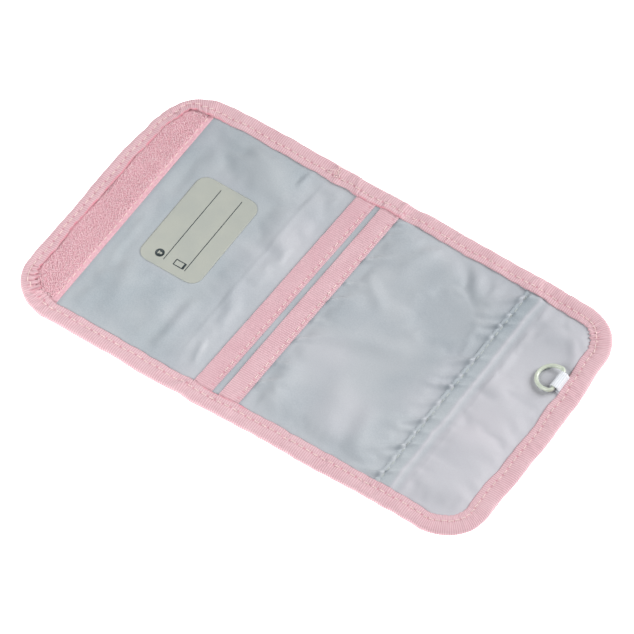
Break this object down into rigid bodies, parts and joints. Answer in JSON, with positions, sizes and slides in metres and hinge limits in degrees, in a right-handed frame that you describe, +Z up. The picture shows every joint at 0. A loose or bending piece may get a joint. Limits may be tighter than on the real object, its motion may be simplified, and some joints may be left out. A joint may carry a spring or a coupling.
{
  "type": "passport holder wallet",
  "caption": "Small fabric fold-over travel wallet lying open, with card pockets, a name label, a touch-fastener strip and a D-shaped ring on an elastic loop.",
  "frame": {"origin": "centre of the open wallet's footprint, at its underside", "axes": "+X along the open wallet from the name label to the ring, +Y across it, +Z up out of its inside face"},
  "size_m": [0.222, 0.126, 0.0054],
  "materials": {
    "ribbon_pink": "ribbed grosgrain",
    "shell_pink": "plain woven, matt",
    "loop_pink": "brushed loop pile",
    "hook_pink": "nylon hooks",
    "lining_grey": "satin lining",
    "label_grey": "flat woven label",
    "foam_white": "soft padding",
    "elastic_white": "woven elastic",
    "thread_cream": "sewing thread",
    "ring_mint": "smooth satin gloss"
  },
  "bodies": {
    "middle_panel": {"outer_shell_middle": "shell_pink", "foam_middle": "foam_white", "lining_middle": "lining_grey", "lining_right_hem": "lining_grey", "rear_card_pocket": "lining_grey", "front_card_pocket": "lining_grey", "rear_pocket_tape": "ribbon_pink", "front_pocket_tape": "ribbon_pink", "binding_top_middle": "ribbon_pink", "binding_bottom_middle": "ribbon_pink", "binding_thread_top": "thread_cream", "binding_thread_bottom": "thread_cream", "rear_tape_thread": "thread_cream", "front_tape_thread": "thread_cream", "hem_thread": "thread_cream"},
    "left_flap": {"outer_shell_left": "shell_pink", "foam_left": "foam_white", "lining_left": "lining_grey", "loop_strip": "loop_pink", "id_label": "label_grey", "binding_left": "ribbon_pink", "binding_thread_left": "thread_cream", "loop_strip_thread": "thread_cream"},
    "right_flap": {"outer_shell_right": "shell_pink", "foam_right": "foam_white", "lining_right": "lining_grey", "hook_strip": "hook_pink", "binding_right": "ribbon_pink", "elastic_loop": "elastic_white", "binding_thread_right": "thread_cream"},
    "ring": {"d_ring": "ring_mint"}
  },
  "joints": [
    {"name": "left_flap_fold", "type": "hinge", "parent": "middle_panel", "child": "left_flap", "pos_m": [-0.0255, 0, 0.0063], "axis": [0, 1, 0], "range_deg": [0, 179.8]},
    {"name": "right_flap_fold", "type": "hinge", "parent": "middle_panel", "child": "right_flap", "pos_m": [0.0705, 0, 0.0044], "axis": [0, -1, 0], "range_deg": [0, 179.8]},
    {"name": "ring_swing", "type": "hinge", "parent": "right_flap", "child": "ring", "pos_m": [0.0972, 0.0243, 0.004], "axis": [0, -1, 0], "range_deg": [-181.7, 0]}
  ]
}
